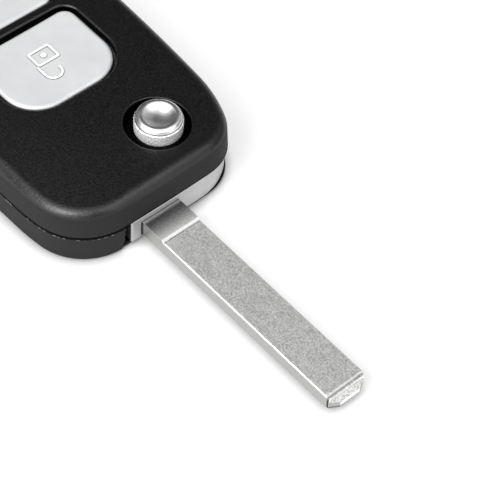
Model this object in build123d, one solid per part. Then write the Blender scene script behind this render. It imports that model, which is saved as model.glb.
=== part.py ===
from build123d import *
import os
from math import hypot, radians, tan

# Housing of a folding car key with its blade swung out, in millimetres.
# +X points along the blade, +Z up through the buttons, and +Y is the side that the blade folds through.
# The origin is the middle of the flat back face.

# Housing outline, seen from above. Its length follows from the folded blade, which it has to cover.
CASE_WIDTH = 42.0
FOLDED_TIP_MARGIN = 7.0
WIDEST_SETBACK = 45.0
SIDE_BOW = 0.6
FRONT_BOW = 0.35
TAIL_BOW = 1.4
TAIL_CORNER = 14.0

# Each side turns in more from its shoulder to the front, most on the side that the blade folds through
SHOULDER_SETBACK = 15.0
LEFT_SHOULDER_DROP = 0.35
LEFT_FRONT_DROP = 3.2
LEFT_FRONT_CORNER = 11.0
RIGHT_SHOULDER_DROP = 1.1
RIGHT_FRONT_DROP = 6.5
RIGHT_FRONT_CORNER = 9.0

# Housing heights and walls
WALL = 1.6
FLOOR = 1.2
WALL_TOP = 5.8
PARTING_GAP = 0.4
COVER_CREST = 13.2
CROWN_LENGTHWISE = 0.9
CROWN_CROSSWISE = 0.9
CEILING = 11.3
COVER_DRAFT = 3.5
COVER_EDGE_RADIUS = 2.0
CASE_DRAFT = 2.5
CASE_EDGE_RADIUS = 1.0
COVER_WALL = 1.5
LIP_HEIGHT = 0.6
LIP_INSET = 0.95
LIP_CLEARANCE = 0.05

# Pivot of the folding head
PIVOT_TO_FRONT = 10.0
PIVOT_SIDE_OFFSET = 6.15
POCKET_FLOOR = 0.7
HEAD_CLEARANCE = 0.2
HEAD_TOP = 6.0
HEAD_SETBACK = 0.1
HEAD_SIDE_SETBACK = 0.65
HEAD_FRONT_CORNER = 11.5
HEAD_END_GAP = 1.0
HEAD_EDGE_RADIUS = 0.3
HEAD_CORE_WALL = 1.5
HEAD_CORE_ROOF = 1.2
RUNNING_CLEARANCE = 0.05

# Hub that stands on the head and turns in the cover
HUB_RADIUS = 6.8
HUB_TOP = 9.5
HUB_CUP_RADIUS = 5.6
HUB_CUP_FLOOR = 5.4
SPRING_BORE_RADIUS = 4.0
CAP_RADIUS = 4.5
CAP_THICKNESS = 0.9
CAP_GAP = 0.1
SPIGOT_RADIUS = 1.5
SPIGOT_HEIGHT = 0.8
SKIRT_RADIUS = 8.0

# Blade
BLADE_OFFSET = 7.65
BLADE_LENGTH = 47.0
BLADE_WIDTH = 8.0
BLADE_BOTTOM = 1.4
BLADE_THICKNESS = 3.0
BLADE_CHAMFER = 0.2
TANG_RISE = 0.35
TANG_LENGTH = 5.4
TANG_BEVEL = 0.45
TANG_DEPTH = 6.8
TANG_CLEARANCE = 0.05
TANG_SLIT = 0.25
PIN_HOLE_RISE = 0.6
PIN_RISE = 0.5
PIN_CHAMFER = 0.13
GROOVE_WIDTH = 0.25
GROOVE_DEPTH = 0.12
NOSE_LENGTH = 1.4
NOSE_LEDGE = 0.4
NOSE_DROP = 1.1
NOSE_SLOPE = 0.7
NOSE_TIP_WIDTH = 4.2
PIN_RADIUS = 0.8
PIN_SETBACK = 3.6
PIN_BORE = 0.35
PIN_SLIT = 0.3
PIN_CLEARANCE = 0.02

# Blade slot along the right side of the housing
SLOT_SIDE_CLEARANCE = 0.8
SLOT_TIP_CLEARANCE = 1.3
RIB_THICKNESS = 1.1
MOUTH_RELIEF = 0.8

# Release button, turned about the pivot
RECESS_RADIUS = 5.9
RECESS_FLOOR_RADIUS = 5.5
RECESS_SHIFT = 0.24
RECESS_FLOOR = 10.7
RECESS_FLOOR_THICKNESS = 1.0
RECESS_EDGE_RADIUS = 0.3
APERTURE_RADIUS = 4.45
BUTTON_TOP = 14.9
BUTTON_RADIUS = 4.1
BUTTON_RIM = 0.95
BUTTON_DISH = 0.9
COLLAR_RADIUS = 4.25
COLLAR_TOP = 13.85
COLLAR_BOTTOM = 11.5
COLLAR_CHAMFER = 0.12
NECK_RADIUS = 4.0
FLANGE_RADIUS = 5.4
FLANGE_THICKNESS = 0.65
FLANGE_GAP = 0.1
LUG_RADIUS = 6.25
LUG_WIDTH = 3.0
LUG_CLEARANCE = 0.1
RELEASE_TRAVEL = 1.9
GUIDE_RADIUS = 2.1
GUIDE_LENGTH = 3.9
GUIDE_CHAMFER = 0.3

# Coil spring between the head and the release button
SPRING_RADIUS = 3.15
SPRING_WIRE = 0.8
SPRING_TURNS = 5.5
SPRING_END_GAP = 0.05

# Remote buttons
KEYPAD_FRONT_MARGIN = 24.15
KEYPAD_TAIL_MARGIN = 12.05
KEYPAD_SIDE_SHIFT = 0.45
KEY_BRIDGE = 2.9
KEY_WIDTH = 21.8
KEY_GAP = 0.6
KEY_OUTER_CORNER = 6.8
KEY_INNER_CORNER = 2.4
KEY_SINK = 0.5
KEY_DISH = 0.25
KEY_EDGE_RADIUS = 0.8
KEY_FLANGE = 0.9
KEY_FLANGE_THICKNESS = 0.6
KEY_SEAT_GAP = 0.05
KEY_FLANGE_CLEARANCE = 0.3
KEY_TRAVEL = 0.5
KEY_SKIN = 1.0
PLUNGER_RADIUS = 1.8
WINDOW_EDGE_RADIUS = 0.35

# Padlock pictures raised on the remote buttons
ICON_LINE = 0.45
ICON_JOIN = 0.05
ICON_RAISE = 0.15
ICON_BODY_LENGTH = 3.6
ICON_BODY_WIDTH = 4.7
ICON_SHACKLE_RADIUS = 1.8
ICON_SHACKLE_LEG = 1.6
ICON_OPEN_LEG = 2.3
ICON_OPEN_SHIFT = 1.0
ICON_OPEN_SIDE = 0.35
ICON_SETBACK = 1.8
ICON_KEYHOLE_RADIUS = 0.55

# Rubber keypad and its clamping frame
MAT_BOTTOM = 8.8
MAT_THICKNESS = 0.6
MAT_MARGIN = 2.2
MAT_SIDE_MARGIN = 5.3
MAT_CORNER = 4.0
DOME_RADIUS = 2.6
DOME_TOP_RADIUS = 1.9
DOME_GAP = 0.1
DOME_WALL = 0.5
DOME_ROOF = 0.1
CLAMP_MARGIN = 1.2
CLAMP_THICKNESS = 0.8
CLAMP_GAP = 0.05

# Inner tray over the blade slot
TRAY_THICKNESS = 1.0
TRAY_TAIL_GAP = 0.6
FITTING_CLEARANCE = 0.3
POST_RADIUS = 1.3
PEG_RADIUS = 0.7
PEG_CLEARANCE = 0.03
PEG_INSET = 1.7
PEG_END_INSET = 2.7
CELL_RADIUS = 10.2
CELL_WALL = 0.8
CELL_DEPTH = 3.2
CELL_TAIL_INSET = 24.0
CELL_SIDE_GAP = 1.3

# Case screws
SCREW_RADIUS = 1.0
SCREW_HEAD_RADIUS = 1.75
SCREW_HEAD_HEIGHT = 1.1
SCREW_LENGTH = 6.6
SCREW_END_SPARE = 0.5
SCREW_HEAD_ROUND = 0.37
SCREW_TIP_CHAMFER = 0.5
SCREW_SEAT = 1.7
SCREW_HOLE_CLEARANCE = 0.15
SCREW_HEAD_CLEARANCE = 0.2
SCREW_GRIP_CLEARANCE = 0.02
SCREW_BOSS_RADIUS = 2.7
SCREW_BOSS_TOP = 4.0
SCREW_POST_RADIUS = 2.3
SCREW_POST_GAP = 0.05
SCREW_FRONT_INSET_X = 9.6
SCREW_FRONT_INSET_Y = 5.1
SCREW_TAIL_INSET_X = 6.8
SCREW_TAIL_INSET_Y = 8.3
CROSS_WIDTH = 0.45
CROSS_LENGTH = 2.0
CROSS_DEPTH = 0.7

# How far a joined form reaches into its neighbour, and a cut runs past the surface that it opens
JOIN = 0.3
PAST = 1.0

# Hole for the key ring
RING_HOLE_RADIUS = 2.6
RING_HOLE_INSET = 5.0
RING_TUBE_WALL = 1.6
RING_TUBE_GAP = 0.05
RING_EDGE_RADIUS = 0.7

# Sizes that follow from the ones above
CASE_LENGTH = BLADE_LENGTH + 2 * PIVOT_TO_FRONT + FOLDED_TIP_MARGIN
COVER_BOTTOM = WALL_TOP + PARTING_GAP
LIP_TOP = WALL_TOP + LIP_HEIGHT
TRAY_BOTTOM = LIP_TOP
TRAY_TOP = TRAY_BOTTOM + TRAY_THICKNESS
HALF_LENGTH = CASE_LENGTH / 2
HALF_WIDTH = CASE_WIDTH / 2
PIVOT_X = HALF_LENGTH - PIVOT_TO_FRONT
PIVOT_Y = PIVOT_SIDE_OFFSET
HEAD_REACH = HALF_WIDTH - PIVOT_Y - HEAD_SIDE_SETBACK
HEAD_BOTTOM = POCKET_FLOOR + HEAD_CLEARANCE
SWEEP_RADIUS = hypot(PIVOT_TO_FRONT, HEAD_REACH + HEAD_END_GAP)
CAP_BOTTOM = HEAD_BOTTOM + CAP_GAP
CAP_TOP = CAP_BOTTOM + CAP_THICKNESS
BLADE_Y = PIVOT_Y - BLADE_OFFSET
BLADE_TOP = BLADE_BOTTOM + BLADE_THICKNESS
TANG_TOP = BLADE_TOP + TANG_RISE
TIP_X = HALF_LENGTH + BLADE_LENGTH
TANG_BACK_X = HALF_LENGTH - TANG_DEPTH
SLOT_INNER_Y = PIVOT_Y + BLADE_OFFSET - BLADE_WIDTH / 2 - SLOT_SIDE_CLEARANCE
SLOT_TAIL_X = 2 * PIVOT_X - TIP_X - SLOT_TIP_CLEARANCE
RECESS_UNDERSIDE = RECESS_FLOOR - RECESS_FLOOR_THICKNESS
FLANGE_TOP = RECESS_UNDERSIDE - FLANGE_GAP
FLANGE_BOTTOM = FLANGE_TOP - FLANGE_THICKNESS
KEYPAD_FRONT = HALF_LENGTH - KEYPAD_FRONT_MARGIN
KEYPAD_TAIL = -HALF_LENGTH + KEYPAD_TAIL_MARGIN
KEY_LENGTH = (KEYPAD_FRONT - KEYPAD_TAIL - KEY_BRIDGE) / 2
KEY_CENTRES = (KEYPAD_FRONT - KEY_LENGTH / 2, KEYPAD_TAIL + KEY_LENGTH / 2)
KEY_FLANGE_TOP = CEILING - KEY_SEAT_GAP
KEY_FLANGE_BOTTOM = KEY_FLANGE_TOP - KEY_FLANGE_THICKNESS
MAT_TOP = MAT_BOTTOM + MAT_THICKNESS
DOME_TOP = KEY_FLANGE_BOTTOM - KEY_TRAVEL - DOME_GAP
RING_X = -HALF_LENGTH + RING_HOLE_INSET
CELL_X = -HALF_LENGTH + CELL_TAIL_INSET
CELL_Y = SLOT_INNER_Y - RIB_THICKNESS - CELL_SIDE_GAP - CELL_WALL - CELL_RADIUS
SCREW_PLACES = (
    (HALF_LENGTH - SCREW_FRONT_INSET_X, -HALF_WIDTH + SCREW_FRONT_INSET_Y),
    (-HALF_LENGTH + SCREW_TAIL_INSET_X, -HALF_WIDTH + SCREW_TAIL_INSET_Y),
)


def disc(radius, bottom, top, x=PIVOT_X, y=PIVOT_Y):
    """Upright cylinder between two heights."""
    return Pos(x, y, (bottom + top) / 2) * Cylinder(radius, top - bottom)


def block(x_range, y_range, z_range):
    """Box between low and high limits."""
    size = [high - low for low, high in (x_range, y_range, z_range)]
    middle = [(high + low) / 2 for low, high in (x_range, y_range, z_range)]
    return Pos(*middle) * Box(*size)


def prism(shape, bottom, top):
    """Flat shape raised between two heights."""
    return extrude(Pos(0, 0, bottom) * shape, amount=top - bottom)


def housing_side(sign, shoulder_drop, front_drop):
    """Points of one side, tail to front: a long arc, then a tangent one that turns in to the front."""
    tail = (-HALF_LENGTH + TAIL_BOW, sign * (HALF_WIDTH - SIDE_BOW))
    widest = (HALF_LENGTH - WIDEST_SETBACK, sign * HALF_WIDTH)
    shoulder = (HALF_LENGTH - SHOULDER_SETBACK, sign * (HALF_WIDTH - shoulder_drop))
    front = (HALF_LENGTH - FRONT_BOW, sign * (HALF_WIDTH - front_drop))
    turn_in = TangentArc(shoulder, front, tangent=ThreePointArc(tail, widest, shoulder) % 1)
    return [tail, widest, shoulder, turn_in @ 0.5, front]


def housing_outline(inset=0.0, right_front_corner=RIGHT_FRONT_CORNER):
    """Plan of the housing: shallow arcs all round, with round corners."""
    left = housing_side(-1, LEFT_SHOULDER_DROP, LEFT_FRONT_DROP)
    right = housing_side(1, RIGHT_SHOULDER_DROP, RIGHT_FRONT_DROP)
    loop = left + [(HALF_LENGTH, 0)] + right[::-1] + [(-HALF_LENGTH, 0), left[0]]
    plan = make_face([ThreePointArc(*loop[start:start + 3]) for start in range(0, len(loop) - 1, 2)])
    for corner, radius in (
        (left[-1], LEFT_FRONT_CORNER),
        (right[-1], right_front_corner),
        (right[0], TAIL_CORNER),
        (left[0], TAIL_CORNER),
    ):
        plan = fillet(plan.vertices().sort_by_distance(corner)[:1], radius)
    if inset:
        edges = offset(plan, amount=-inset).edges()
        plan = make_face([ThreePointArc(edge @ 0, edge @ 0.5, edge @ 1) for edge in edges])
    return plan


def crown_solid(lowered=0.0):
    """Solid under a gently domed top, curved both along and across the housing."""
    crest = COVER_CREST - lowered
    reach = CASE_LENGTH
    along = HALF_LENGTH ** 2 / (2 * CROWN_LENGTHWISE)
    across = HALF_WIDTH ** 2 / (2 * CROWN_CROSSWISE)
    drop = along - (along ** 2 - reach ** 2) ** 0.5
    arc = ThreePointArc((-reach, 0, crest - drop), (0, 0, crest), (reach, 0, crest - drop))
    right_edge = Line((reach, 0, crest - drop), (reach, 0, crest - across))
    axle = Line((reach, 0, crest - across), (-reach, 0, crest - across))
    left_edge = Line((-reach, 0, crest - across), (-reach, 0, crest - drop))
    profile = make_face([arc, right_edge, axle, left_edge])
    axis = Axis((0, 0, crest - across), (1, 0, 0))
    return revolve(profile.rotate(axis, -90), axis, 180)


def folding_head_outline():
    """Plan of the head. It looks the same after half a turn about the pivot."""
    plan = housing_outline(HEAD_SETBACK, HEAD_FRONT_CORNER)
    limits = Pos(PIVOT_X, PIVOT_Y) * Rectangle(2 * PIVOT_TO_FRONT, 2 * HEAD_REACH)
    turned = Pos(PIVOT_X, PIVOT_Y) * Rot(0, 0, 180) * Pos(-PIVOT_X, -PIVOT_Y) * plan
    return plan & limits & turned


def key_outline(centre_x, inner_side, grow=0.0):
    """Rounded plan of one remote button, with its small corners at the bridge.

    inner_side is -1 where the bridge lies towards the tail and +1 where it lies towards the blade.
    """
    plan = Rectangle(KEY_LENGTH, KEY_WIDTH)
    plan = fillet(plan.vertices().filter_by(lambda v: v.X * inner_side < 0), KEY_OUTER_CORNER)
    small = plan.vertices().filter_by(lambda v: v.X * inner_side > KEY_LENGTH / 2 - 0.01)
    plan = fillet(small, KEY_INNER_CORNER)
    if grow:
        plan = offset(plan, amount=grow)
    return Pos(centre_x, KEYPAD_SIDE_SHIFT) * plan


def padlock(centre_x, is_open):
    """Padlock drawn in raised lines. An open one has its shackle pulled out and moved aside."""
    half = ICON_BODY_LENGTH / 2
    reach = ICON_OPEN_LEG if is_open else ICON_SHACKLE_LEG
    shift = ICON_OPEN_SHIFT if is_open else 0
    body = RectangleRounded(ICON_BODY_LENGTH, ICON_BODY_WIDTH, ICON_LINE)
    body -= RectangleRounded(
        ICON_BODY_LENGTH - 2 * ICON_LINE, ICON_BODY_WIDTH - 2 * ICON_LINE, ICON_LINE / 2
    )
    bow = Circle(ICON_SHACKLE_RADIUS) - Circle(ICON_SHACKLE_RADIUS - ICON_LINE)
    bow &= Pos(ICON_SHACKLE_RADIUS, 0) * Rectangle(2 * ICON_SHACKLE_RADIUS, 4 * ICON_SHACKLE_RADIUS)
    leg_y = ICON_SHACKLE_RADIUS - ICON_LINE / 2
    legs = Sketch()
    for side in (-1, 1):
        length = ICON_LINE if is_open and side > 0 else reach
        legs += Pos(-length / 2 + ICON_JOIN, side * leg_y) * Rectangle(length + 2 * ICON_JOIN, ICON_LINE)
    shackle = Pos(half + reach - ICON_JOIN, -shift) * (bow + legs)
    keyhole = Circle(ICON_KEYHOLE_RADIUS)
    side_place = KEYPAD_SIDE_SHIFT + (ICON_OPEN_SIDE if is_open else 0)
    return Pos(centre_x - ICON_SETBACK, side_place) * (body + shackle + keyhole)


def clear_fittings(shape):
    """Cut room for the screw posts and the key-ring tube that pass through a flat piece."""
    for x, y in SCREW_PLACES:
        shape -= disc(SCREW_POST_RADIUS + FITTING_CLEARANCE, 0, COVER_CREST, x, y)
    tube = RING_HOLE_RADIUS + RING_TUBE_WALL + FITTING_CLEARANCE
    return shape - disc(tube, 0, COVER_CREST, RING_X, 0)


def bottom_case():
    """Lower half: floor, walls, blade slot, head pocket, pivot spigot, screw bosses and key-ring tube."""
    inset = WALL_TOP * tan(radians(CASE_DRAFT))
    sole = housing_outline(inset)
    rim = Pos(0, 0, WALL_TOP) * housing_outline()
    shell = loft([sole, rim])
    sole_edges = shell.edges().filter_by(lambda e: e.bounding_box().max.Z < 0.01)
    shell = fillet(sole_edges, CASE_EDGE_RADIUS)
    shell -= prism(housing_outline(WALL), FLOOR, WALL_TOP + PAST)
    lip_ring = housing_outline(LIP_INSET) - housing_outline(WALL)
    shell += prism(lip_ring, WALL_TOP - WALL, LIP_TOP)

    inside = prism(housing_outline(LIP_INSET), FLOOR - JOIN, LIP_TOP)
    slot_rib = block(
        (SLOT_TAIL_X - RIB_THICKNESS, HALF_LENGTH),
        (SLOT_INNER_Y - RIB_THICKNESS, SLOT_INNER_Y),
        (FLOOR - JOIN, LIP_TOP),
    )
    slot_end = block(
        (SLOT_TAIL_X - RIB_THICKNESS, SLOT_TAIL_X),
        (SLOT_INNER_Y - RIB_THICKNESS, HALF_WIDTH),
        (FLOOR - JOIN, LIP_TOP),
    )
    pocket_wall = disc(SWEEP_RADIUS + RIB_THICKNESS, FLOOR - JOIN, LIP_TOP)
    shell += (slot_rib + slot_end + pocket_wall) & inside
    for x, y in SCREW_PLACES:
        shell += disc(SCREW_BOSS_RADIUS, FLOOR - JOIN, SCREW_BOSS_TOP, x, y)
    ring_tube = disc(RING_HOLE_RADIUS + RING_TUBE_WALL, FLOOR - JOIN, LIP_TOP, RING_X, 0)
    shell += ring_tube & inside

    shell -= block((SLOT_TAIL_X, CASE_LENGTH), (SLOT_INNER_Y, CASE_WIDTH), (FLOOR, LIP_TOP + PAST))
    shell -= disc(SWEEP_RADIUS, POCKET_FLOOR, LIP_TOP + PAST)
    shell -= block(
        (HALF_LENGTH - MOUTH_RELIEF, CASE_LENGTH),
        (BLADE_Y - BLADE_WIDTH, BLADE_Y + BLADE_WIDTH / 2 + 2 * MOUTH_RELIEF),
        (-PAST, FLOOR + PAST),
    )
    shell += disc(SPIGOT_RADIUS, POCKET_FLOOR - JOIN, POCKET_FLOOR + SPIGOT_HEIGHT)

    for x, y in SCREW_PLACES:
        shell -= disc(SCREW_RADIUS + SCREW_HOLE_CLEARANCE, -PAST, SCREW_BOSS_TOP + PAST, x, y)
        shell -= disc(SCREW_HEAD_RADIUS + SCREW_HEAD_CLEARANCE, -PAST, SCREW_SEAT, x, y)
    shell -= disc(RING_HOLE_RADIUS, -PAST, LIP_TOP + PAST, RING_X, 0)
    hole_edge = shell.edges().filter_by(GeomType.CIRCLE).filter_by(
        lambda e: abs(e.radius - RING_HOLE_RADIUS) < 0.01 and e.center().Z < 0.01
    )
    return fillet(hole_edge, RING_EDGE_RADIUS)


def cover_body():
    """Outer form of the upper half: drafted sides under a domed top with a round edge."""
    height = COVER_CREST - COVER_BOTTOM + PAST
    inset = height * tan(radians(COVER_DRAFT))
    foot = Pos(0, 0, COVER_BOTTOM) * housing_outline()
    head = Pos(0, 0, COVER_BOTTOM + height) * housing_outline(inset)
    body = loft([foot, head]) & crown_solid()
    top_edges = body.edges().filter_by(
        lambda e: e.bounding_box().min.Z > COVER_BOTTOM + height / 2
    )
    return fillet(top_edges, COVER_EDGE_RADIUS)


def top_cover():
    """Upper half: keypad windows, button recess, hub bearing, screw posts and key-ring tube."""
    body = cover_body()
    outer = cover_body()
    cavity = prism(housing_outline(COVER_WALL), COVER_BOTTOM - PAST, CEILING)
    ceiling_edges = cavity.edges().filter_by(lambda e: e.bounding_box().min.Z > CEILING - 0.01)
    cavity = chamfer(ceiling_edges, COVER_WALL / 2)
    body -= cavity
    rebate_top = TRAY_TOP + LIP_CLEARANCE
    body -= prism(housing_outline(LIP_INSET - LIP_CLEARANCE), COVER_BOTTOM - PAST, rebate_top)

    inside = outer & prism(housing_outline(COVER_WALL / 2), COVER_BOTTOM, COVER_CREST)
    fittings = disc(SKIRT_RADIUS, COVER_BOTTOM, COVER_CREST)
    for x, y in SCREW_PLACES:
        fittings += disc(SCREW_POST_RADIUS, rebate_top, COVER_CREST, x, y)
    fittings += disc(
        RING_HOLE_RADIUS + RING_TUBE_WALL, LIP_TOP + RING_TUBE_GAP, COVER_CREST, RING_X, 0
    )
    body += fittings & inside
    for x, y in SCREW_PLACES:
        body += disc(SCREW_POST_RADIUS, SCREW_BOSS_TOP + SCREW_POST_GAP, CEILING, x, y)

    for centre_x, inner_side in zip(KEY_CENTRES, (-1, 1)):
        frame = key_outline(centre_x, inner_side, KEY_FLANGE + CLAMP_MARGIN)
        frame -= key_outline(centre_x, inner_side, KEY_FLANGE + CLAMP_MARGIN - CLAMP_THICKNESS)
        body += prism(frame, MAT_TOP + CLAMP_GAP, CEILING + JOIN)
    for centre_x, inner_side in zip(KEY_CENTRES, (-1, 1)):
        room = key_outline(centre_x, inner_side, KEY_FLANGE + KEY_FLANGE_CLEARANCE)
        body -= prism(room, COVER_BOTTOM, CEILING)
        body -= prism(key_outline(centre_x, inner_side, KEY_GAP), COVER_BOTTOM, COVER_CREST + PAST)

    body -= disc(HUB_RADIUS + RUNNING_CLEARANCE, COVER_BOTTOM - PAST, RECESS_UNDERSIDE)
    body -= disc(APERTURE_RADIUS, COVER_BOTTOM, COVER_CREST)
    recess_floor = Pos(PIVOT_X, PIVOT_Y, RECESS_FLOOR) * Circle(RECESS_FLOOR_RADIUS)
    recess_mouth = Pos(
        PIVOT_X - RECESS_SHIFT, PIVOT_Y - RECESS_SHIFT, COVER_CREST
    ) * Circle(RECESS_RADIUS)
    body -= loft([recess_floor, recess_mouth])

    for x, y in SCREW_PLACES:
        grip = SCREW_RADIUS + SCREW_GRIP_CLEARANCE
        body -= disc(grip, SCREW_BOSS_TOP, SCREW_SEAT + SCREW_LENGTH + SCREW_END_SPARE, x, y)
    body -= disc(RING_HOLE_RADIUS, COVER_BOTTOM - PAST, COVER_CREST + PAST, RING_X, 0)

    top_edges = body.edges().filter_by(lambda e: e.bounding_box().min.Z > CEILING + JOIN)
    ring_edge = top_edges.filter_by(lambda e: abs(e.center().X - RING_X) < RING_HOLE_RADIUS)
    body = fillet(ring_edge.filter_by(lambda e: e.length < 8 * RING_HOLE_RADIUS), RING_EDGE_RADIUS)
    return soften_cover_edges(body)


def soften_cover_edges(body):
    """Round the mouth of the button recess and the rims of the keypad windows."""
    top_edges = body.edges().filter_by(lambda e: e.bounding_box().min.Z > CEILING + JOIN)
    mouth = top_edges.filter_by(
        lambda e: hypot(e.center().X - PIVOT_X, e.center().Y - PIVOT_Y) < RECESS_RADIUS + 0.5
    )
    body = fillet(mouth, RECESS_EDGE_RADIUS)
    top_edges = body.edges().filter_by(lambda e: e.bounding_box().min.Z > CEILING + JOIN)
    tail, front = keypad_limits()
    windows = top_edges.filter_by(
        lambda e: tail < e.center().X < front
        and abs(e.center().Y - KEYPAD_SIDE_SHIFT) < KEY_WIDTH / 2 + 2 * KEY_GAP
    )
    return fillet(windows, WINDOW_EDGE_RADIUS)


def inner_tray():
    """Carrier that roofs the blade slot and the head pocket, and holds the coin cell and the keypad."""
    plan = housing_outline(LIP_INSET)
    tail_x = RING_X + RING_HOLE_RADIUS + RING_TUBE_WALL + TRAY_TAIL_GAP
    plan &= Pos(tail_x + HALF_LENGTH, 0) * Rectangle(CASE_LENGTH, CASE_WIDTH)
    plan -= Pos(PIVOT_X, PIVOT_Y) * Circle(SKIRT_RADIUS + FITTING_CLEARANCE)
    tray = prism(plan, TRAY_BOTTOM, TRAY_TOP)
    cup_bottom = TRAY_TOP - CELL_DEPTH - CELL_WALL
    tray += disc(CELL_RADIUS + CELL_WALL, cup_bottom, TRAY_TOP, CELL_X, CELL_Y)
    tray -= disc(CELL_RADIUS, TRAY_TOP - CELL_DEPTH, TRAY_TOP + PAST, CELL_X, CELL_Y)
    for x, y in keypad_pegs():
        tray += disc(POST_RADIUS, TRAY_TOP - JOIN, MAT_BOTTOM, x, y)
        tray += disc(PEG_RADIUS, MAT_BOTTOM - JOIN, MAT_TOP + CLAMP_GAP, x, y)
    return clear_fittings(tray)


def keypad_limits():
    """Low and high X of the rubber mat."""
    return KEYPAD_TAIL - MAT_MARGIN, KEYPAD_FRONT + MAT_MARGIN


def keypad_pegs():
    """Places of the pegs that locate the mat: both ends and the bridge, on each side."""
    tail, front = keypad_limits()
    side = KEY_WIDTH / 2 + MAT_SIDE_MARGIN - PEG_INSET
    middle = (KEY_CENTRES[0] + KEY_CENTRES[1]) / 2
    rows = (tail + PEG_END_INSET, middle, front - PEG_END_INSET)
    return [(x, KEYPAD_SIDE_SHIFT + y) for x in rows for y in (-side, side)]


def keypad_mat():
    """Rubber sheet with one dome under each remote button."""
    tail, front = keypad_limits()
    width = KEY_WIDTH + 2 * MAT_SIDE_MARGIN
    middle = Pos((tail + front) / 2, KEYPAD_SIDE_SHIFT)
    plan = middle * RectangleRounded(front - tail, width, MAT_CORNER)
    mat = prism(plan, MAT_BOTTOM, MAT_TOP)
    for x in KEY_CENTRES:
        dome = Pos(x, KEYPAD_SIDE_SHIFT, (MAT_TOP + DOME_TOP) / 2) * Cone(
            DOME_RADIUS, DOME_TOP_RADIUS, DOME_TOP - MAT_TOP
        )
        mat += dome
        hollow = DOME_TOP_RADIUS - DOME_WALL
        mat -= disc(hollow, MAT_BOTTOM - PAST, MAT_TOP - DOME_ROOF, x, KEYPAD_SIDE_SHIFT)
    for x, y in keypad_pegs():
        mat -= disc(PEG_RADIUS + PEG_CLEARANCE, MAT_BOTTOM - PAST, MAT_TOP + PAST, x, y)
    return clear_fittings(mat)


def remote_button(centre_x, inner_side, is_open):
    """Key cap: a dished top with a raised padlock, a retaining flange, and a plunger inside."""
    plan = key_outline(centre_x, inner_side)
    surface = COVER_CREST - KEY_SINK - CROWN_LENGTHWISE * (centre_x / HALF_LENGTH) ** 2
    reach = hypot(KEY_LENGTH, KEY_WIDTH) / 2
    ball_radius = (reach ** 2 + KEY_DISH ** 2) / (2 * KEY_DISH)
    ball_place = Pos(centre_x, KEYPAD_SIDE_SHIFT, surface - KEY_DISH + ball_radius)
    ball = ball_place * Rot(90, 0, 0) * Sphere(ball_radius)
    cap = prism(plan, KEY_FLANGE_BOTTOM, COVER_CREST) - ball
    top_edges = cap.edges().filter_by(lambda e: e.bounding_box().min.Z > CEILING + JOIN)
    cap = fillet(top_edges, KEY_EDGE_RADIUS)
    picture = padlock(centre_x, is_open)
    raised = prism(picture, surface - 2 * KEY_DISH, COVER_CREST)
    cap += raised - Pos(0, 0, ICON_RAISE) * ball
    flange = key_outline(centre_x, inner_side, KEY_FLANGE)
    cap += prism(flange, KEY_FLANGE_BOTTOM, KEY_FLANGE_TOP)
    hollow = key_outline(centre_x, inner_side, -KEY_SKIN)
    cap -= prism(hollow, KEY_FLANGE_BOTTOM - PAST, surface - KEY_DISH - KEY_SKIN)
    cap += disc(
        PLUNGER_RADIUS, KEY_FLANGE_BOTTOM, surface - KEY_SKIN, centre_x, KEYPAD_SIDE_SHIFT
    )
    return cap


def blade_head():
    """Die-cast head: plate with the blade socket, hub with the spring bore, cored underside."""
    plan = folding_head_outline()
    head = prism(plan, HEAD_BOTTOM, HEAD_TOP)
    head = fillet(head.edges(), HEAD_EDGE_RADIUS)
    socket_wall = BLADE_WIDTH / 2 + HEAD_CORE_WALL
    cores = offset(plan, amount=-HEAD_CORE_WALL)
    cores -= Pos(PIVOT_X, PIVOT_Y) * Circle(CAP_RADIUS + HEAD_CORE_WALL)
    cores -= Pos(HALF_LENGTH, BLADE_Y) * Rectangle(
        2 * (TANG_DEPTH + HEAD_CORE_WALL), 2 * socket_wall
    )
    head -= prism(cores, HEAD_BOTTOM - PAST, HEAD_TOP - HEAD_CORE_ROOF)

    head += disc(HUB_RADIUS, HEAD_TOP - JOIN, HUB_TOP)
    head -= disc(HUB_CUP_RADIUS, HUB_CUP_FLOOR, HUB_TOP + PAST)
    head -= disc(SPRING_BORE_RADIUS, HEAD_BOTTOM - PAST, HUB_TOP)
    head -= disc(CAP_RADIUS, HEAD_BOTTOM - PAST, CAP_TOP)
    lug_slot = block(
        (PIVOT_X - LUG_WIDTH / 2 - LUG_CLEARANCE, PIVOT_X + LUG_WIDTH / 2 + LUG_CLEARANCE),
        (PIVOT_Y - HUB_RADIUS, PIVOT_Y + HUB_RADIUS),
        (FLANGE_BOTTOM - RELEASE_TRAVEL - LUG_CLEARANCE, HUB_TOP + PAST),
    )
    head -= lug_slot & disc(LUG_RADIUS + LUG_CLEARANCE, HEAD_TOP, HUB_TOP + 2 * PAST)

    socket_left = BLADE_Y - BLADE_WIDTH / 2 - TANG_SLIT
    socket_right = BLADE_Y + BLADE_WIDTH / 2 + TANG_CLEARANCE
    head -= block(
        (TANG_BACK_X - TANG_CLEARANCE, CASE_LENGTH),
        (socket_left, socket_right),
        (BLADE_BOTTOM - TANG_CLEARANCE, TANG_TOP + TANG_CLEARANCE),
    )
    pin_x = HALF_LENGTH - PIN_SETBACK
    return head - disc(PIN_RADIUS, HEAD_BOTTOM - PAST, TANG_TOP + PIN_HOLE_RISE, pin_x, BLADE_Y)


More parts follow.
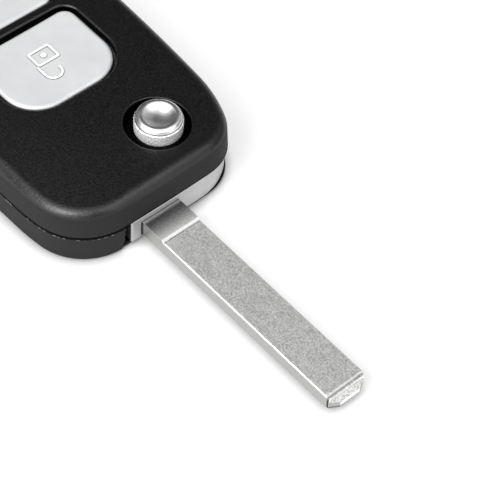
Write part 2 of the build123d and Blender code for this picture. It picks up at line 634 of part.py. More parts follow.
def blade():
    """Uncut blade: thicker tang with a bevelled step, long flat face and a stepped nose."""
    step_x = HALF_LENGTH + TANG_LENGTH
    face_end = TIP_X - NOSE_LENGTH
    body = block(
        (TANG_BACK_X, face_end),
        (BLADE_Y - BLADE_WIDTH / 2, BLADE_Y + BLADE_WIDTH / 2),
        (BLADE_BOTTOM, BLADE_TOP),
    )
    rim = body.faces().sort_by(Axis.Z)[-1].edges() + body.faces().sort_by(Axis.Z)[0].edges()
    body = chamfer(rim.filter_by(lambda e: e.center().X > TANG_BACK_X + 0.1), BLADE_CHAMFER)

    side = Polyline(
        (TANG_BACK_X, BLADE_BOTTOM + BLADE_CHAMFER),
        (step_x, BLADE_BOTTOM + BLADE_CHAMFER),
        (step_x, BLADE_TOP - BLADE_CHAMFER),
        (step_x - TANG_BEVEL, TANG_TOP),
        (TANG_BACK_X, TANG_TOP),
        close=True,
    )
    tang_plan = Plane.XZ.offset(-BLADE_Y + BLADE_WIDTH / 2) * make_face(side)
    body += extrude(tang_plan, amount=-BLADE_WIDTH)
    body -= block(
        (step_x, step_x + GROOVE_WIDTH),
        (BLADE_Y - BLADE_WIDTH, BLADE_Y + BLADE_WIDTH),
        (BLADE_TOP - GROOVE_DEPTH, TANG_TOP + PAST),
    )

    nose_plan = make_face(
        Polyline(
            (face_end - BLADE_CHAMFER, BLADE_Y - BLADE_WIDTH / 2 + BLADE_CHAMFER),
            (face_end + NOSE_LEDGE, BLADE_Y - BLADE_WIDTH / 2 + BLADE_CHAMFER),
            (TIP_X, BLADE_Y - NOSE_TIP_WIDTH / 2),
            (TIP_X, BLADE_Y + NOSE_TIP_WIDTH / 2),
            (face_end + NOSE_LEDGE, BLADE_Y + BLADE_WIDTH / 2 - BLADE_CHAMFER),
            (face_end - BLADE_CHAMFER, BLADE_Y + BLADE_WIDTH / 2 - BLADE_CHAMFER),
            close=True,
        )
    )
    nose = prism(nose_plan, BLADE_BOTTOM + BLADE_CHAMFER, BLADE_TOP)
    slope = make_face(
        Polyline(
            (face_end, BLADE_TOP + PAST),
            (face_end, BLADE_TOP - NOSE_LEDGE),
            (face_end + NOSE_LEDGE, BLADE_TOP - NOSE_LEDGE),
            (face_end + NOSE_LEDGE, BLADE_TOP - NOSE_DROP),
            (TIP_X + PAST, BLADE_TOP - NOSE_DROP - NOSE_SLOPE),
            (TIP_X + PAST, BLADE_TOP + PAST),
            close=True,
        )
    )
    nose -= extrude(Plane.XZ.offset(-BLADE_Y + BLADE_WIDTH) * slope, amount=-2 * BLADE_WIDTH)
    body += nose
    body -= disc(PIN_RADIUS, 0, HUB_TOP, HALF_LENGTH - PIN_SETBACK, BLADE_Y)
    return body


def blade_pin():
    """Slotted spring pin that locks the tang in its socket."""
    x = HALF_LENGTH - PIN_SETBACK
    pin = disc(PIN_RADIUS - PIN_CLEARANCE, HEAD_BOTTOM + CAP_GAP, TANG_TOP + PIN_RISE, x, BLADE_Y)
    pin = chamfer(pin.edges().filter_by(GeomType.CIRCLE), PIN_CHAMFER)
    pin -= disc(PIN_BORE, 0, HUB_TOP, x, BLADE_Y)
    pin -= block((x, x + PIN_RADIUS * 2), (BLADE_Y - PIN_SLIT / 2, BLADE_Y + PIN_SLIT / 2), (0, HUB_TOP))
    return pin


def spring_cap():
    """Disc that closes the spring bore and turns on the spigot of the floor."""
    cap = disc(CAP_RADIUS - PIN_CLEARANCE, CAP_BOTTOM, CAP_TOP)
    cap -= disc(SPIGOT_RADIUS + RUNNING_CLEARANCE, 0, HUB_TOP)
    return cap


def release_button():
    """Turned button: dished top in a thick round rim, collar, retaining flange and guide pin."""
    rim_centre = BUTTON_RADIUS - BUTTON_RIM
    rim_height = BUTTON_TOP - BUTTON_RIM
    dish_bottom = BUTTON_TOP - BUTTON_DISH
    rise = dish_bottom - rim_height
    dish_radius = (rim_centre ** 2 + rise ** 2 - BUTTON_RIM ** 2) / (2 * (BUTTON_RIM - rise))
    share = dish_radius / (dish_radius + BUTTON_RIM)
    meeting = (rim_centre * share, rim_height + (rise + dish_radius) * (1 - share))
    dish = TangentArc((0, dish_bottom), meeting, tangent=(1, 0))
    rim = TangentArc(meeting, (BUTTON_RADIUS, rim_height), tangent=dish % 1)
    guide_end = FLANGE_BOTTOM - GUIDE_LENGTH
    side = Polyline(
        (BUTTON_RADIUS, rim_height),
        (BUTTON_RADIUS, COLLAR_TOP),
        (COLLAR_RADIUS, COLLAR_TOP - COLLAR_CHAMFER),
        (COLLAR_RADIUS, COLLAR_BOTTOM + COLLAR_CHAMFER),
        (NECK_RADIUS, COLLAR_BOTTOM),
        (NECK_RADIUS, FLANGE_TOP),
        (FLANGE_RADIUS, FLANGE_TOP),
        (FLANGE_RADIUS, FLANGE_BOTTOM),
        (GUIDE_RADIUS, FLANGE_BOTTOM),
        (GUIDE_RADIUS, guide_end + GUIDE_CHAMFER),
        (GUIDE_RADIUS - GUIDE_CHAMFER, guide_end),
        (0, guide_end),
        (0, dish_bottom),
    )
    profile = Plane.XZ * make_face([dish, rim, side])
    turned = Pos(PIVOT_X, PIVOT_Y, 0) * revolve(profile, Axis.Z)
    lugs = block(
        (PIVOT_X - LUG_WIDTH / 2, PIVOT_X + LUG_WIDTH / 2),
        (PIVOT_Y - LUG_RADIUS, PIVOT_Y + LUG_RADIUS),
        (FLANGE_BOTTOM, FLANGE_TOP),
    )
    return turned + (lugs & disc(LUG_RADIUS, FLANGE_BOTTOM, FLANGE_TOP))


def flip_spring():
    """Coil spring that lifts the release button and throws the head out."""
    bottom = CAP_TOP + SPRING_END_GAP + SPRING_WIRE / 2
    top = FLANGE_BOTTOM - SPRING_END_GAP - SPRING_WIRE / 2
    path = Helix(pitch=(top - bottom) / SPRING_TURNS, height=top - bottom, radius=SPRING_RADIUS)
    section = Plane(origin=path @ 0, z_dir=path % 0) * Circle(SPRING_WIRE / 2)
    return Pos(PIVOT_X, PIVOT_Y, bottom) * sweep(section, path=path)


def case_screw(x, y):
    """Self-tapping screw with a cross recess, driven up from the back face."""
    seat = SCREW_SEAT
    head = disc(SCREW_HEAD_RADIUS, seat - SCREW_HEAD_HEIGHT, seat, x, y)
    rim = head.edges().filter_by(GeomType.CIRCLE).sort_by(Axis.Z)[0]
    head = fillet([rim], SCREW_HEAD_ROUND)
    shank = disc(SCREW_RADIUS, seat - JOIN, seat + SCREW_LENGTH, x, y)
    tip = shank.edges().filter_by(GeomType.CIRCLE).sort_by(Axis.Z)[-1]
    shank = chamfer([tip], SCREW_TIP_CHAMFER)
    screw = head + shank
    low = seat - SCREW_HEAD_HEIGHT
    for angle in (45, 135):
        arm = Box(CROSS_LENGTH, CROSS_WIDTH, CROSS_DEPTH)
        screw -= Pos(x, y, low + CROSS_DEPTH / 2) * Rot(0, 0, angle) * arm
    return screw


def all_parts():
    """Every piece of the key, by name."""
    parts = {
        "top_cover": top_cover(),
        "bottom_case": bottom_case(),
        "inner_tray": inner_tray(),
        "keypad_mat": keypad_mat(),
        "unlock_button": remote_button(KEY_CENTRES[0], -1, True),
        "lock_button": remote_button(KEY_CENTRES[1], 1, False),
        "blade_head": blade_head(),
        "blade": blade(),
        "blade_pin": blade_pin(),
        "spring_cap": spring_cap(),
        "release_button": release_button(),
        "flip_spring": flip_spring(),
    }
    for name, (x, y) in zip(("case_screw_front", "case_screw_tail"), SCREW_PLACES):
        parts[name] = case_screw(x, y)
    return parts


os.makedirs("parts", exist_ok=True)
for name, shape in all_parts().items():
    export_step(shape, f"parts/{name}.step")
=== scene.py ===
"""Looks of the folding car key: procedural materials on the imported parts,
a pale floor, and a studio of soft lights that was fitted to the photograph."""

from math import cos, radians, sin

import bpy
from mathutils import Matrix, Vector

MM = 0.001

# Camera, fitted to the photograph: its place in metres and its axes in the part's frame
CAMERA_PLACE = (0.212338, -0.151814, 0.285643)
CAMERA_RIGHT = (0.6585, 0.75129, 0.04408)
CAMERA_DOWN = (0.60722, -0.4958, -0.62086)
CAMERA_FORWARD = (-0.44459, 0.43561, -0.78268)
CAMERA_NEAR = 0.01
CAMERA_FAR = 20
FOCAL_PIXELS = 2163.6
FRAME_PIXELS = 500
SENSOR_WIDTH = 36.0

# Floor: half its width and its drop below the part in metres, its tone, and its own glow,
# which fades where the ambient occlusion of the part's foot goes from open to shaded
FLOOR_REACH = 3.0
FLOOR_DROP = 0.02 * MM
FLOOR_TONE = 0.3
FLOOR_ROUGHNESS = (0.85, 0.95)
FLOOR_PATCH = 30 * MM
FLOOR_GLOW = 0.64
SHADOW_GLOW = 0.15
SHADOW_REACH = 2.2 * MM
SHADOW_SHADED = 0.42
SHADOW_OPEN = 0.97

# Soft lights of the studio as (azimuth, elevation, radiance), in degrees, and how tight each is
STUDIO_LIGHTS = (
    (-84, 32, 7.5),
    (-99, 4, 3.0),
    (-67, 0, 0.9),
    (-92, 17, 0.9),
    (-59, 14, 0.8),
    (-39, 19, 0.3),
    (26, 13, 0.8),
    (13, 21, 1.6),
    (9, 48, 1.9),
    (29, 56, 3.0),
    (49, 66, 1.1),
    (-121, 74, 2.4),
    (-109, 55, 1.2),
    (-141, 61, 1.2),
    (123, 3, 0.7),
    (86, 29, 0.7),
)
LIGHT_TIGHTNESS = 28.0

# The one lamp, which lights the near corner of the housing and casts the shadows
LAMP_AZIMUTH = -76
LAMP_ELEVATION = 50
LAMP_DISTANCE = 0.7
LAMP_WIDTH = 0.33
LAMP_POWER = 4.2
LAMP_TARGET = (0.03, 0, 0)

# Places on the part where a material changes, in metres along X or Z
TANG_END_X = 42.4 * MM
NOSE_X = 82.6 * MM
NOSE_EDGE_Z = 2.0 * MM
COLLAR_TOP_Z = 13.85 * MM
NECK_TOP_Z = 11.3 * MM
WALL_TOP_Z = 11.3 * MM
POCKET_Z = 9.5 * MM
SEAM_LOW_Z = 5.8 * MM
SEAM_HIGH_Z = 6.45 * MM

# Key caps: the radius of their dished tops, the dishes' middle along Y,
# and where each dish has its lowest point along X and Z
CAP_DISH_RADIUS = 390 * MM
CAP_DISH_SIDE = 0.45 * MM
UNLOCK_DISH = (4.125 * MM, 12.45 * MM)
LOCK_DISH = (-16.225 * MM, 12.28 * MM)

# Housing: its plastic, and its side walls, which are rougher and duller than the top
HOUSING_TONE = 0.002
HOUSING_ROUGHNESS = 0.33
INNER_TONE = 0.03
INNER_ROUGHNESS = 0.5
WALL_ROUGHNESS = 0.75
WALL_DULLNESS = 0.2
WALL_FADE = 0.8 * MM
GRAIN_SIZE = 0.4 * MM
GRAIN_DEPTH = 0.05 * MM
GRAIN_LIGHTER = 4.0
GRAIN_ROUGHER = 0.06
WORN_EDGE = 0.12 * MM
WORN_SHARE = 0.3
SPECK_EDGE = 0.15 * MM
SPECK_BAND = 0.25 * MM
GAP_REACH = 0.5 * MM
POCKET_REACH = 3 * MM
GAP_DARKNESS = 0.92

# Range that most of a noise texture's values lie in
NOISE_RANGE = (0.3, 0.7)

# Width over which a band on one axis fades out
BAND_FADE = 0.08 * MM

# Colours, among them painted shade for gaps, corners, the nose, the blade's sides and the tang,
# and painted highlight for specks and steel edges
BLACK = (0.0, 0.0, 0.0)
SHADE_GREY = (0.02, 0.02, 0.02)
CORNER_SHADE_GREY = (0.04, 0.04, 0.04)
NOSE_CHAMFER_SHADE = (0.06, 0.06, 0.06)
WORN_BLACK = (0.12, 0.12, 0.12)
RIDGE_FOOT_SHADE_GREY = (0.15, 0.15, 0.15)
STEEL_SHADE_AND_MOTTLE = (0.3, 0.3, 0.3)
STEEL_FRONT_SHADE = (0.4, 0.4, 0.4)
STEEL_SIDE_SHADE_AND_MOTTLE = (0.42, 0.42, 0.415)
SPECK_HIGHLIGHT_GREY = (0.55, 0.55, 0.55)
STEEL_LIGHT = (0.85, 0.85, 0.84)
STEEL_HIGHLIGHT = (0.97, 0.97, 0.96)
WHITE = (1.0, 1.0, 1.0)

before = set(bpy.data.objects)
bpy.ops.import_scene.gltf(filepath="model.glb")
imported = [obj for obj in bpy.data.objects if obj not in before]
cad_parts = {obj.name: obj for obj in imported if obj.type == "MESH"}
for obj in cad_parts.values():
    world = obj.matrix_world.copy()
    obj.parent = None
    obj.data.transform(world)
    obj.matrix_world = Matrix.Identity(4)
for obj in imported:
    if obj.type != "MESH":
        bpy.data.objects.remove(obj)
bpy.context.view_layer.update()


class Look:
    """One material, built from nodes that read the piece's own coordinates in metres."""

    def __init__(self, name, colour, roughness, metallic=0.0, **sockets):
        self.material = bpy.data.materials.new(name)
        self.material.use_nodes = True
        self.tree = self.material.node_tree
        self.shader = self.tree.nodes["Principled BSDF"]
        self.place = self.add("ShaderNodeTexCoord").outputs["Object"]
        self.shader.inputs["Base Color"].default_value = (*colour, 1.0)
        self.shader.inputs["Roughness"].default_value = roughness
        self.shader.inputs["Metallic"].default_value = metallic
        for socket, value in sockets.items():
            self.shader.inputs[socket.replace("_", " ")].default_value = value
        self.material.diffuse_color = (*colour, 1.0)

    def add(self, kind, **settings):
        """New node with some of its settings."""
        node = self.tree.nodes.new(kind)
        for name, value in settings.items():
            setattr(node, name, value)
        return node

    def feed(self, socket, value):
        """Link an output to a socket, or set a plain number on it."""
        if isinstance(value, bpy.types.NodeSocket):
            self.tree.links.new(value, socket)
        else:
            socket.default_value = value

    def use(self, socket, value):
        """Feed one of the shader's own sockets."""
        self.feed(self.shader.inputs[socket], value)

    def noise(self, size, detail=2.0, rough=0.5):
        """Noise whose features are about size metres across."""
        texture = self.add("ShaderNodeTexNoise")
        self.feed(texture.inputs["Vector"], self.place)
        texture.inputs["Scale"].default_value = 1 / size
        texture.inputs["Detail"].default_value = detail
        texture.inputs["Roughness"].default_value = rough
        return texture.outputs["Fac"]

    def span(self, value, low, high, to_low=0.0, to_high=1.0):
        """Remap a value from one range to another and clamp it."""
        node = self.add("ShaderNodeMapRange")
        self.feed(node.inputs["Value"], value)
        node.inputs["From Min"].default_value = low
        node.inputs["From Max"].default_value = high
        self.feed(node.inputs["To Min"], to_low)
        self.feed(node.inputs["To Max"], to_high)
        return node.outputs["Result"]

    def pick(self, factor, first, second):
        """The first number where the factor is 0, the second where it is 1."""
        return self.span(factor, 0, 1, first, second)

    def calc(self, operation, first, second):
        """One step of arithmetic on two numbers."""
        node = self.add("ShaderNodeMath", operation=operation)
        self.feed(node.inputs[0], first)
        self.feed(node.inputs[1], second)
        return node.outputs["Value"]

    def blend(self, factor, first, second):
        """Mix two colours."""
        node = self.add("ShaderNodeMix", data_type="RGBA")
        self.feed(node.inputs[0], factor)
        for socket, colour in ((node.inputs[6], first), (node.inputs[7], second)):
            if isinstance(colour, tuple):
                socket.default_value = (*colour, 1.0)
            else:
                self.feed(socket, colour)
        return node.outputs[2]

    def vary(self, noise, first, second):
        """Wander between two numbers with a noise."""
        return self.span(noise, *NOISE_RANGE, first, second)

    def mottle(self, noise, first, second):
        """Wander between two colours with a noise."""
        return self.blend(self.span(noise, *NOISE_RANGE), first, second)

    def along(self, axis, low, high):
        """0 below low and 1 above high on one axis, in metres."""
        split = self.add("ShaderNodeSeparateXYZ")
        self.feed(split.inputs["Vector"], self.place)
        return self.span(split.outputs[axis], low, high)

    def between(self, axis, low, high):
        """1 from low to high on one axis, in metres, and 0 beyond."""
        risen = self.along(axis, low - BAND_FADE, low)
        fallen = self.along(axis, high, high + BAND_FADE)
        return self.calc("MULTIPLY", risen, self.calc("SUBTRACT", 1.0, fallen))

    def facing(self, axis, aside=0.8, along=0.95):
        """1 where the piece's own face looks along one of its axes, 0 where it looks aside."""
        split = self.add("ShaderNodeSeparateXYZ")
        self.feed(split.inputs["Vector"], self.add("ShaderNodeTexCoord").outputs["Normal"])
        return self.span(self.calc("ABSOLUTE", split.outputs[axis], 0.0), aside, along)

    def raised_from_dish(self, centre_x, face_z):
        """1 on what stands up from a key cap's dished face, 0 on the face itself."""
        away = self.add("ShaderNodeVectorMath", operation="SUBTRACT")
        self.feed(away.inputs[0], self.place)
        away.inputs[1].default_value = (centre_x, CAP_DISH_SIDE, face_z)
        split = self.add("ShaderNodeSeparateXYZ")
        self.feed(split.inputs["Vector"], away.outputs["Vector"])
        x, y, height = split.outputs
        reach = self.calc("ADD", self.calc("MULTIPLY", x, x), self.calc("MULTIPLY", y, y))
        dish = self.calc("DIVIDE", reach, 2 * CAP_DISH_RADIUS)
        return self.span(self.calc("SUBTRACT", height, dish), 0.04 * MM, 0.1 * MM)

    def edges(self, radius):
        """1 on edges sharper than the radius, 0 on faces."""
        bevel = self.add("ShaderNodeBevel", samples=4)
        bevel.inputs["Radius"].default_value = radius
        geometry = self.add("ShaderNodeNewGeometry")
        dot = self.add("ShaderNodeVectorMath", operation="DOT_PRODUCT")
        self.feed(dot.inputs[0], bevel.outputs["Normal"])
        self.feed(dot.inputs[1], geometry.outputs["Normal"])
        return self.span(dot.outputs["Value"], 0.99, 0.85)

    def crevice(self, reach, open_above, closed_below):
        """1 deep inside gaps and corners of about the reach, 0 on open faces."""
        node = self.add("ShaderNodeAmbientOcclusion", samples=8)
        node.inputs["Distance"].default_value = reach
        return self.span(node.outputs["AO"], open_above, closed_below)

    def relief(self, height, depth, strength=1.0, soft_edge=0.0):
        """Bump the surface by a height field, over edges rounded by soft_edge metres."""
        bump = self.add("ShaderNodeBump")
        self.feed(bump.inputs["Height"], height)
        self.feed(bump.inputs["Strength"], strength)
        bump.inputs["Distance"].default_value = depth
        if soft_edge:
            bevel = self.add("ShaderNodeBevel", samples=6)
            bevel.inputs["Radius"].default_value = soft_edge
            self.feed(bump.inputs["Normal"], bevel.outputs["Normal"])
        self.use("Normal", bump.outputs["Normal"])


def moulded_black(name, tone, roughness):
    """Spark-eroded black plastic: grained satin top, rougher walls, worn edges, painted shade
    turning gaps, the recess and the seam black, and painted highlight specks below the seam.
    """
    look = Look(name, (tone, tone, tone * 1.03), roughness, Specular_IOR_Level=0.5)
    grain = look.noise(GRAIN_SIZE, detail=4.0, rough=0.75)
    patches = look.noise(9 * MM)
    darker = (tone * 0.9, tone * 0.9, tone * 0.92)
    lighter = (tone * 1.12, tone * 1.12, tone * 1.15)
    base = look.mottle(patches, darker, lighter)
    base = look.blend(look.span(grain, 0.35, 0.65), base, (tone * GRAIN_LIGHTER,) * 3)

    wear_and_highlight = look.span(look.noise(1.5 * MM), 0.4, 0.65)
    worn = look.calc("MULTIPLY", look.edges(WORN_EDGE), wear_and_highlight)
    base = look.blend(look.calc("MULTIPLY", worn, WORN_SHARE), base, WORN_BLACK)

    # Painted highlight: bright specks on the lower case's top edge, just below the seam
    scattered = look.span(look.noise(0.6 * MM), 0.5, 0.65)
    highlight_specks = look.calc("MULTIPLY", look.edges(SPECK_EDGE), scattered)
    under_seam = look.between("Z", SEAM_LOW_Z - SPECK_BAND, SEAM_LOW_Z)
    base = look.blend(look.calc("MULTIPLY", highlight_specks, under_seam), base, SPECK_HIGHLIGHT_GREY)

    # Painted shade: gaps, the recess and windows above POCKET_Z, and a band over the seam turn
    # black and reflect almost nothing
    deep = look.along("Z", POCKET_Z, POCKET_Z + 0.5 * MM)
    pocket = look.calc("MULTIPLY", look.crevice(POCKET_REACH, 0.72, 0.5), deep)
    dark = look.calc("MAXIMUM", look.crevice(GAP_REACH, 0.75, 0.55), pocket)
    dark = look.calc("MAXIMUM", dark, look.between("Z", SEAM_LOW_Z + 0.1 * MM, SEAM_HIGH_Z))
    top = look.along("Z", WALL_TOP_Z - WALL_FADE, WALL_TOP_Z)
    dark = look.pick(dark, look.pick(top, WALL_DULLNESS, 0.0), GAP_DARKNESS)
    look.use("Base Color", look.blend(dark, base, BLACK))
    look.use("Metallic", dark)

    satin = look.pick(top, WALL_ROUGHNESS, roughness)
    look.use("Roughness", look.calc("ADD", satin, look.vary(grain, -GRAIN_ROUGHER, GRAIN_ROUGHER)))
    look.relief(grain, GRAIN_DEPTH, soft_edge=0.08 * MM)
    return look.material


def painted_grey(name, centre_x, face_z):
    """Silver-grey painted key cap with a satin coat, a painted highlight on its raised pictogram,
    and painted shade at the pictogram's foot and near the gap round the cap.
    """
    look = Look(name, (0.66, 0.665, 0.67), 0.38, metallic=0.25)
    flake = look.noise(0.15 * MM)
    cloud = look.noise(5 * MM)
    paint = look.mottle(cloud, (0.53, 0.535, 0.54), (0.58, 0.585, 0.59))
    # Painted highlight on the raised pictogram, painted shade at its foot and near the gap round
    # the cap
    wear_and_highlight = look.blend(look.raised_from_dish(centre_x, face_z), paint, WHITE)
    ridge_foot_shaded = look.blend(look.crevice(0.3 * MM, 0.92, 0.6), wear_and_highlight, RIDGE_FOOT_SHADE_GREY)
    look.use("Base Color", look.blend(look.crevice(1.5 * MM, 0.6, 0.35), ridge_foot_shaded, SHADE_GREY))
    look.use("Roughness", look.vary(flake, 0.48, 0.58))
    look.relief(flake, 0.006 * MM, 0.3, soft_edge=0.05 * MM)
    return look.material


def tumbled_steel():
    """Blade: mottled satin face, smoother tang with painted shade towards the head, painted shade
    on its sides and corners, painted highlights on its edges.
    """
    look = Look("Blade_Steel", (0.66, 0.66, 0.655), 0.4, metallic=1.0)
    fine = look.noise(0.28 * MM, detail=3.0, rough=0.6)
    broad = look.noise(2.2 * MM, detail=3.0)
    face = look.along("X", TANG_END_X - 0.2 * MM, TANG_END_X)
    mottled = look.mottle(fine, STEEL_SIDE_SHADE_AND_MOTTLE, (0.86, 0.86, 0.85))
    shaded = look.blend(look.span(broad, 0.35, 0.65), (0.58, 0.58, 0.575), (0.68, 0.68, 0.67))
    satin = look.blend(0.5, mottled, shaded)

    # Painted shade: the tang darkens towards the head, standing in for the dark housing reflected
    # there
    rise = look.along("X", TANG_END_X - 5 * MM, TANG_END_X - 0.3 * MM)
    out_of_tang_shade = look.calc("ADD", rise, look.vary(fine, -0.25, 0.15))
    tang = look.blend(look.span(out_of_tang_shade, 0.0, 0.9), STEEL_SHADE_AND_MOTTLE, STEEL_LIGHT)
    # Painted shade: the blade's side faces are darker
    base = look.blend(look.facing("Y"), look.blend(face, tang, satin), STEEL_SIDE_SHADE_AND_MOTTLE)

    # Nose: grainy slope, painted shade on the chamfers at its corners and the lower front face,
    # and a painted highlight on the upper front edge
    nose = look.along("X", NOSE_X, NOSE_X + 0.1 * MM)
    slope = look.mottle(fine, STEEL_SHADE_AND_MOTTLE, STEEL_LIGHT)
    slope = look.blend(look.facing("Z", 0.3, 0.5), NOSE_CHAMFER_SHADE, slope)
    upper = look.along("Z", NOSE_EDGE_Z, NOSE_EDGE_Z + 0.1 * MM)
    front = look.blend(upper, STEEL_FRONT_SHADE, STEEL_HIGHLIGHT)
    base = look.blend(nose, base, look.blend(look.facing("X"), slope, front))

    # Painted highlight on the rim where the face ends and on the edges, painted shade in the
    # corners
    rim_highlight = look.between("X", NOSE_X - 0.3 * MM, NOSE_X + 0.02 * MM)
    base = look.blend(look.calc("MULTIPLY", rim_highlight, look.facing("Z")), base, STEEL_HIGHLIGHT)
    base = look.blend(look.crevice(0.25 * MM, 0.85, 0.55), base, CORNER_SHADE_GREY)
    look.use("Base Color", look.blend(look.edges(0.1 * MM), base, STEEL_HIGHLIGHT))

    rough_tang = look.pick(out_of_tang_shade, 0.3, 0.6)
    look.use("Roughness", look.pick(face, rough_tang, look.vary(fine, 0.5, 0.68)))
    look.relief(fine, 0.02 * MM, look.pick(face, 0.4, 1.0), soft_edge=0.03 * MM)
    return look.material


def cast_metal():
    """Head: satin die casting with a faint orange-peel skin and a painted highlight on its edges.
    """
    look = Look("Cast_Head", (0.52, 0.52, 0.52), 0.34, metallic=1.0)
    skin = look.noise(0.45 * MM, detail=3.0)
    cloud = look.noise(4 * MM)
    base = look.mottle(cloud, (0.46, 0.46, 0.46), (0.54, 0.54, 0.535))
    # Painted highlight: the edges are lighter
    look.use("Base Color", look.blend(look.edges(0.1 * MM), base, (0.85, 0.85, 0.85)))
    look.use("Roughness", look.vary(skin, 0.34, 0.48))
    look.relief(skin, 0.015 * MM, 0.35, soft_edge=0.08 * MM)
    return look.material


def plated_chrome():
    """Release button: bright plating above, rough plating on the collar below, and a neck painted
    near-black as painted shade in the recess.
    """
    look = Look("Button_Chrome", (0.84, 0.84, 0.845), 0.12, metallic=1.0)
    top = look.along("Z", COLLAR_TOP_Z - 0.1 * MM, COLLAR_TOP_Z + 0.1 * MM)
    collar_not_neck = look.along("Z", NECK_TOP_Z - 0.15 * MM, NECK_TOP_Z + 0.15 * MM)
    rough_skin = look.noise(0.22 * MM, rough=0.6)
    soft_skin = look.noise(0.8 * MM, detail=1.0)
    rough_collar = look.vary(rough_skin, 0.55, 0.75)
    look.use("Roughness", look.pick(top, rough_collar, look.vary(soft_skin, 0.33, 0.39)))
    pits = look.blend(look.span(rough_skin, 0.35, 0.65), (0.5, 0.5, 0.5), WHITE)
    # Painted shade: the neck below the collar is near-black
    collar = look.blend(collar_not_neck, SHADE_GREY, pits)
    look.use("Base Color", look.blend(top, collar, (0.9, 0.9, 0.905)))
    look.use("Metallic", look.pick(top, 0.7, 1.0))
    height = look.blend(top, rough_skin, soft_skin)
    look.relief(height, 0.1 * MM, look.pick(top, 1.0, 0.02), soft_edge=0.06 * MM)
    return look.material


def plain_steel(name, tone, roughness):
    """Drawn or turned steel of small parts."""
    look = Look(name, (tone, tone, tone * 1.01), roughness, metallic=1.0)
    streaks = look.noise(0.25 * MM, detail=3.0)
    look.use("Base Color", look.mottle(streaks, (tone * 0.85,) * 3, (tone * 1.12,) * 3))
    look.use("Roughness", look.vary(streaks, roughness - 0.07, roughness + 0.1))
    look.relief(streaks, 0.008 * MM, 0.4)
    return look.material


def silicone():
    """Rubber of the keypad."""
    look = Look("Keypad_Rubber", (0.1, 0.1, 0.1), 0.65)
    bloom = look.noise(1.2 * MM, detail=3.0)
    look.use("Base Color", look.mottle(bloom, (0.085, 0.085, 0.085), (0.13, 0.13, 0.13)))
    look.use("Roughness", look.vary(bloom, 0.58, 0.74))
    look.relief(look.noise(0.3 * MM), 0.01 * MM, 0.4)
    return look.material


def dress(material, *nodes):
    """Give one material to some of the part's nodes."""
    for node in nodes:
        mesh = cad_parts[node].data
        mesh.materials.clear()
        mesh.materials.append(material)


def place_camera():
    """Camera at the place and with the lens that the photograph was taken with."""
    axes = (CAMERA_RIGHT, CAMERA_DOWN, CAMERA_FORWARD)
    right, down, forward = (Vector(axis).normalized() for axis in axes)
    data = bpy.data.cameras.new("Camera")
    data.sensor_width = SENSOR_WIDTH
    data.lens = FOCAL_PIXELS / FRAME_PIXELS * SENSOR_WIDTH
    data.clip_start = CAMERA_NEAR
    data.clip_end = CAMERA_FAR
    camera = bpy.data.objects.new("Camera", data)
    turn = Matrix((right, -down, -forward)).transposed()
    camera.matrix_world = Matrix.Translation(CAMERA_PLACE) @ turn.to_4x4()
    bpy.context.scene.collection.objects.link(camera)
    bpy.context.scene.camera = camera


def lay_floor():
    """Pale floor that glows by itself, with a painted soft shadow at the foot of the part where
    the glow fades with ambient occlusion.
    """
    reach = FLOOR_REACH
    mesh = bpy.data.meshes.new("Floor")
    corners = [(-reach, -reach, 0), (reach, -reach, 0), (reach, reach, 0), (-reach, reach, 0)]
    mesh.from_pydata(corners, [], [(0, 1, 2, 3)])
    floor = bpy.data.objects.new("Floor", mesh)
    floor.location.z = -FLOOR_DROP
    look = Look("Floor_White", (FLOOR_TONE,) * 3, 0.9)
    contact = look.add("ShaderNodeAmbientOcclusion", samples=16)
    contact.inputs["Distance"].default_value = SHADOW_REACH
    look.use("Emission Color", (*WHITE, 1.0))
    glow = look.span(contact.outputs["AO"], SHADOW_SHADED, SHADOW_OPEN, SHADOW_GLOW, FLOOR_GLOW)
    look.use("Emission Strength", glow)
    look.use("Roughness", look.vary(look.noise(FLOOR_PATCH), *FLOOR_ROUGHNESS))
    mesh.materials.append(look.material)
    bpy.context.scene.collection.objects.link(floor)


def aim(azimuth, elevation):
    """Direction from the part towards a light."""
    azimuth, elevation = radians(azimuth), radians(elevation)
    level = cos(elevation)
    return Vector((level * cos(azimuth), level * sin(azimuth), sin(elevation)))


def hang_lamp():
    """Square area light on the left of the photograph, facing the housing."""
    direction = aim(LAMP_AZIMUTH, LAMP_ELEVATION)
    data = bpy.data.lights.new("Light_Left", "AREA")
    data.shape = "RECTANGLE"
    data.size = data.size_y = LAMP_WIDTH
    data.energy = LAMP_POWER
    lamp = bpy.data.objects.new("Light_Left", data)
    lamp.location = Vector(LAMP_TARGET) + direction * LAMP_DISTANCE
    lamp.rotation_euler = direction.to_track_quat("Z", "Y").to_euler()
    bpy.context.scene.collection.objects.link(lamp)


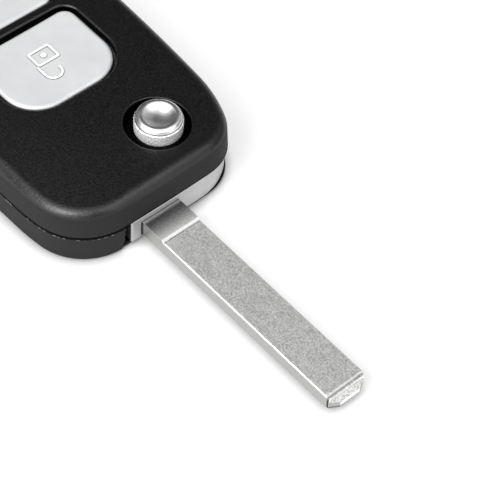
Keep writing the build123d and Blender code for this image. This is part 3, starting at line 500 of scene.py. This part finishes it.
def light_world():
    """Studio of soft lights, each fading evenly round its own direction."""
    world = bpy.data.worlds.new("Studio")
    world.use_nodes = True
    tree = world.node_tree
    background = tree.nodes["Background"]
    background.inputs["Color"].default_value = (*WHITE, 1.0)
    direction = tree.nodes.new("ShaderNodeTexCoord").outputs["Generated"]

    def maths(operation, *values):
        node = tree.nodes.new("ShaderNodeMath")
        node.operation = operation
        for socket, value in zip(node.inputs, values):
            if isinstance(value, bpy.types.NodeSocket):
                tree.links.new(value, socket)
            else:
                socket.default_value = value
        return node.outputs["Value"]

    total = 0.0
    for azimuth, elevation, radiance in STUDIO_LIGHTS:
        facing = tree.nodes.new("ShaderNodeVectorMath")
        facing.operation = "DOT_PRODUCT"
        tree.links.new(direction, facing.inputs[0])
        facing.inputs[1].default_value = aim(azimuth, elevation)
        cosine = facing.outputs["Value"]
        exponent = maths("MULTIPLY_ADD", cosine, LIGHT_TIGHTNESS, -LIGHT_TIGHTNESS)
        total = maths("MULTIPLY_ADD", maths("EXPONENT", exponent), radiance, total)
    tree.links.new(total, background.inputs["Strength"])
    bpy.context.scene.world = world


place_camera()
lay_floor()
light_world()
hang_lamp()

dress(moulded_black("Housing_Black", HOUSING_TONE, HOUSING_ROUGHNESS), "top_cover")
dress(moulded_black("Housing_Black_Lower", HOUSING_TONE, HOUSING_ROUGHNESS), "bottom_case")
dress(moulded_black("Inner_Black", INNER_TONE, INNER_ROUGHNESS), "inner_tray")
dress(silicone(), "keypad_mat")
dress(painted_grey("Key_Cap_Grey", *UNLOCK_DISH), "unlock_button")
dress(painted_grey("Key_Cap_Grey_Lock", *LOCK_DISH), "lock_button")
dress(cast_metal(), "blade_head")
dress(tumbled_steel(), "blade")
dress(plated_chrome(), "release_button")
dress(plain_steel("Pin_Steel", 0.5, 0.3), "blade_pin", "spring_cap")
dress(plain_steel("Spring_Steel", 0.42, 0.32), "flip_spring")
dress(plain_steel("Screw_Steel", 0.3, 0.35), "case_screw_front", "case_screw_tail")

bpy.context.scene.view_settings.view_transform = "Standard"
